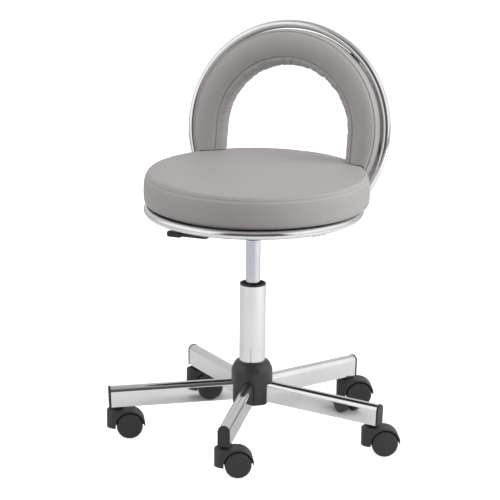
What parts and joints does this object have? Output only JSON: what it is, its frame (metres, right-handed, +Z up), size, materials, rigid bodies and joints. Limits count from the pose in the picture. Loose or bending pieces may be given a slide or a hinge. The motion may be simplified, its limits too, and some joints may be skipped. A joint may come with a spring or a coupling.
{
  "type": "pedicure stool",
  "caption": "Round padded stool with a horseshoe backrest held in a chrome ring, a gas-lift column with a side lever, and a five-arm swivel base on twin-wheel casters.",
  "frame": {"origin": "on the floor, on the vertical axis of the lift column", "axes": "+Z up; a person on the stool faces -Y, so the backrest is at +Y, and the height lever is at -X"},
  "size_m": [0.5571, 0.5478, 0.7692],
  "materials": {
    "chrome": "polished",
    "hub_plastic": "gloss",
    "black_plastic": "satin",
    "caster_nylon": "satin",
    "socket_plastic": "matte",
    "rubber": "matte",
    "bright_steel": "satin",
    "black_steel": "satin",
    "plywood": "matte",
    "leatherette": "satin"
  },
  "bodies": {
    "base": {"arm_1": "chrome", "arm_2": "chrome", "arm_3": "chrome", "arm_4": "chrome", "arm_5": "chrome", "arm_caps": "black_plastic", "stem_sockets": "socket_plastic", "caster_stem_1": "bright_steel", "caster_stem_2": "bright_steel", "caster_stem_3": "bright_steel", "caster_stem_4": "bright_steel", "caster_stem_5": "bright_steel", "hub_cover": "hub_plastic", "hub_core": "black_steel", "column_tube": "chrome", "guide_bush": "black_plastic", "bearing_washer_lower": "bright_steel"},
    "spindle": {"piston_rod": "bright_steel", "piston": "socket_plastic", "rod_clip": "bright_steel", "bearing_balls": "bright_steel", "bearing_washer_upper": "bright_steel", "rubber_bumper": "rubber"},
    "seat": {"pressure_tube": "chrome", "seat_plate": "black_steel", "lever_pivot": "bright_steel", "seat_board": "plywood", "seat_cushion": "leatherette", "seat_ring": "chrome", "ring_tabs": "black_steel", "seat_screws": "bright_steel", "backrest_ring": "chrome", "backrest_bracket": "black_steel", "backrest_board": "plywood", "backrest_pad": "leatherette", "backrest_tabs": "black_steel", "backrest_screws": "bright_steel"},
    "lever": {"lever_rod": "black_steel", "lever_grip": "black_plastic"},
    "valve": {"valve_pin": "bright_steel"},
    "caster_1": {"caster_hood_1": "caster_nylon", "caster_axle_1": "bright_steel"},
    "wheel_1_left": {"caster_1_wheel_left": "caster_nylon"},
    "wheel_1_right": {"caster_1_wheel_right": "caster_nylon"},
    "caster_2": {"caster_hood_2": "caster_nylon", "caster_axle_2": "bright_steel"},
    "wheel_2_left": {"caster_2_wheel_left": "caster_nylon"},
    "wheel_2_right": {"caster_2_wheel_right": "caster_nylon"},
    "caster_3": {"caster_hood_3": "caster_nylon", "caster_axle_3": "bright_steel"},
    "wheel_3_left": {"caster_3_wheel_left": "caster_nylon"},
    "wheel_3_right": {"caster_3_wheel_right": "caster_nylon"},
    "caster_4": {"caster_hood_4": "caster_nylon", "caster_axle_4": "bright_steel"},
    "wheel_4_left": {"caster_4_wheel_left": "caster_nylon"},
    "wheel_4_right": {"caster_4_wheel_right": "caster_nylon"},
    "caster_5": {"caster_hood_5": "caster_nylon", "caster_axle_5": "bright_steel"},
    "wheel_5_left": {"caster_5_wheel_left": "caster_nylon"},
    "wheel_5_right": {"caster_5_wheel_right": "caster_nylon"}
  },
  "joints": [
    {"name": "seat_spin", "type": "hinge", "parent": "base", "child": "spindle", "pos_m": [0, 0, 0.2], "axis": [0, 0, 1], "continuous": true},
    {"name": "seat_lift", "type": "slide", "parent": "spindle", "child": "seat", "axis": [0, 0, 1], "range_m": [-0.08, 0]},
    {"name": "height_lever", "type": "hinge", "parent": "seat", "child": "lever", "pos_m": [-0.024, 0, 0.4232], "axis": [0, 1, 0], "range_deg": [0, 7], "stiffness_Nm_per_rad": 2.5, "springref_deg": -6.88},
    {"name": "valve_press", "type": "slide", "parent": "seat", "child": "valve", "axis": [0, 0, -1], "range_m": [0, 0.0033]},
    {"name": "caster_swivel_1", "type": "hinge", "parent": "base", "child": "caster_1", "pos_m": [0.04892, -0.25403, 0.05], "axis": [0, 0, 1], "continuous": true},
    {"name": "wheel_spin_1_left", "type": "hinge", "parent": "caster_1", "child": "wheel_1_left", "pos_m": [0.06939, -0.24378, 0.025], "axis": [-0.4478, 0.8942, 0], "continuous": true},
    {"name": "wheel_spin_1_right", "type": "hinge", "parent": "caster_1", "child": "wheel_1_right", "pos_m": [0.06939, -0.24378, 0.025], "axis": [-0.4478, 0.8942, 0], "continuous": true},
    {"name": "caster_swivel_2", "type": "hinge", "parent": "base", "child": "caster_2", "pos_m": [0.25672, -0.03198, 0.05], "axis": [0, 0, 1], "continuous": true},
    {"name": "wheel_spin_2_left", "type": "hinge", "parent": "caster_2", "child": "wheel_2_left", "pos_m": [0.27719, -0.02172, 0.025], "axis": [-0.4478, 0.8942, 0], "continuous": true},
    {"name": "wheel_spin_2_right", "type": "hinge", "parent": "caster_2", "child": "wheel_2_right", "pos_m": [0.27719, -0.02172, 0.025], "axis": [-0.4478, 0.8942, 0], "continuous": true},
    {"name": "caster_swivel_3", "type": "hinge", "parent": "base", "child": "caster_3", "pos_m": [0.10974, 0.23427, 0.05], "axis": [0, 0, 1], "continuous": true},
    {"name": "wheel_spin_3_left", "type": "hinge", "parent": "caster_3", "child": "wheel_3_left", "pos_m": [0.13022, 0.24452, 0.025], "axis": [-0.4478, 0.8942, 0], "continuous": true},
    {"name": "wheel_spin_3_right", "type": "hinge", "parent": "caster_3", "child": "wheel_3_right", "pos_m": [0.13022, 0.24452, 0.025], "axis": [-0.4478, 0.8942, 0], "continuous": true},
    {"name": "caster_swivel_4", "type": "hinge", "parent": "base", "child": "caster_4", "pos_m": [-0.18889, 0.17676, 0.05], "axis": [0, 0, 1], "continuous": true},
    {"name": "wheel_spin_4_left", "type": "hinge", "parent": "caster_4", "child": "wheel_4_left", "pos_m": [-0.16842, 0.18702, 0.025], "axis": [-0.4478, 0.8942, 0], "continuous": true},
    {"name": "wheel_spin_4_right", "type": "hinge", "parent": "caster_4", "child": "wheel_4_right", "pos_m": [-0.16842, 0.18702, 0.025], "axis": [-0.4478, 0.8942, 0], "continuous": true},
    {"name": "caster_swivel_5", "type": "hinge", "parent": "base", "child": "caster_5", "pos_m": [-0.22648, -0.12502, 0.05], "axis": [0, 0, 1], "continuous": true},
    {"name": "wheel_spin_5_left", "type": "hinge", "parent": "caster_5", "child": "wheel_5_left", "pos_m": [-0.20601, -0.11477, 0.025], "axis": [-0.4478, 0.8942, 0], "continuous": true},
    {"name": "wheel_spin_5_right", "type": "hinge", "parent": "caster_5", "child": "wheel_5_right", "pos_m": [-0.20601, -0.11477, 0.025], "axis": [-0.4478, 0.8942, 0], "continuous": true}
  ],
  "couplings": [
    {"joint": "valve_press", "follows": "height_lever", "m_per_rad": 0.0265}
  ]
}
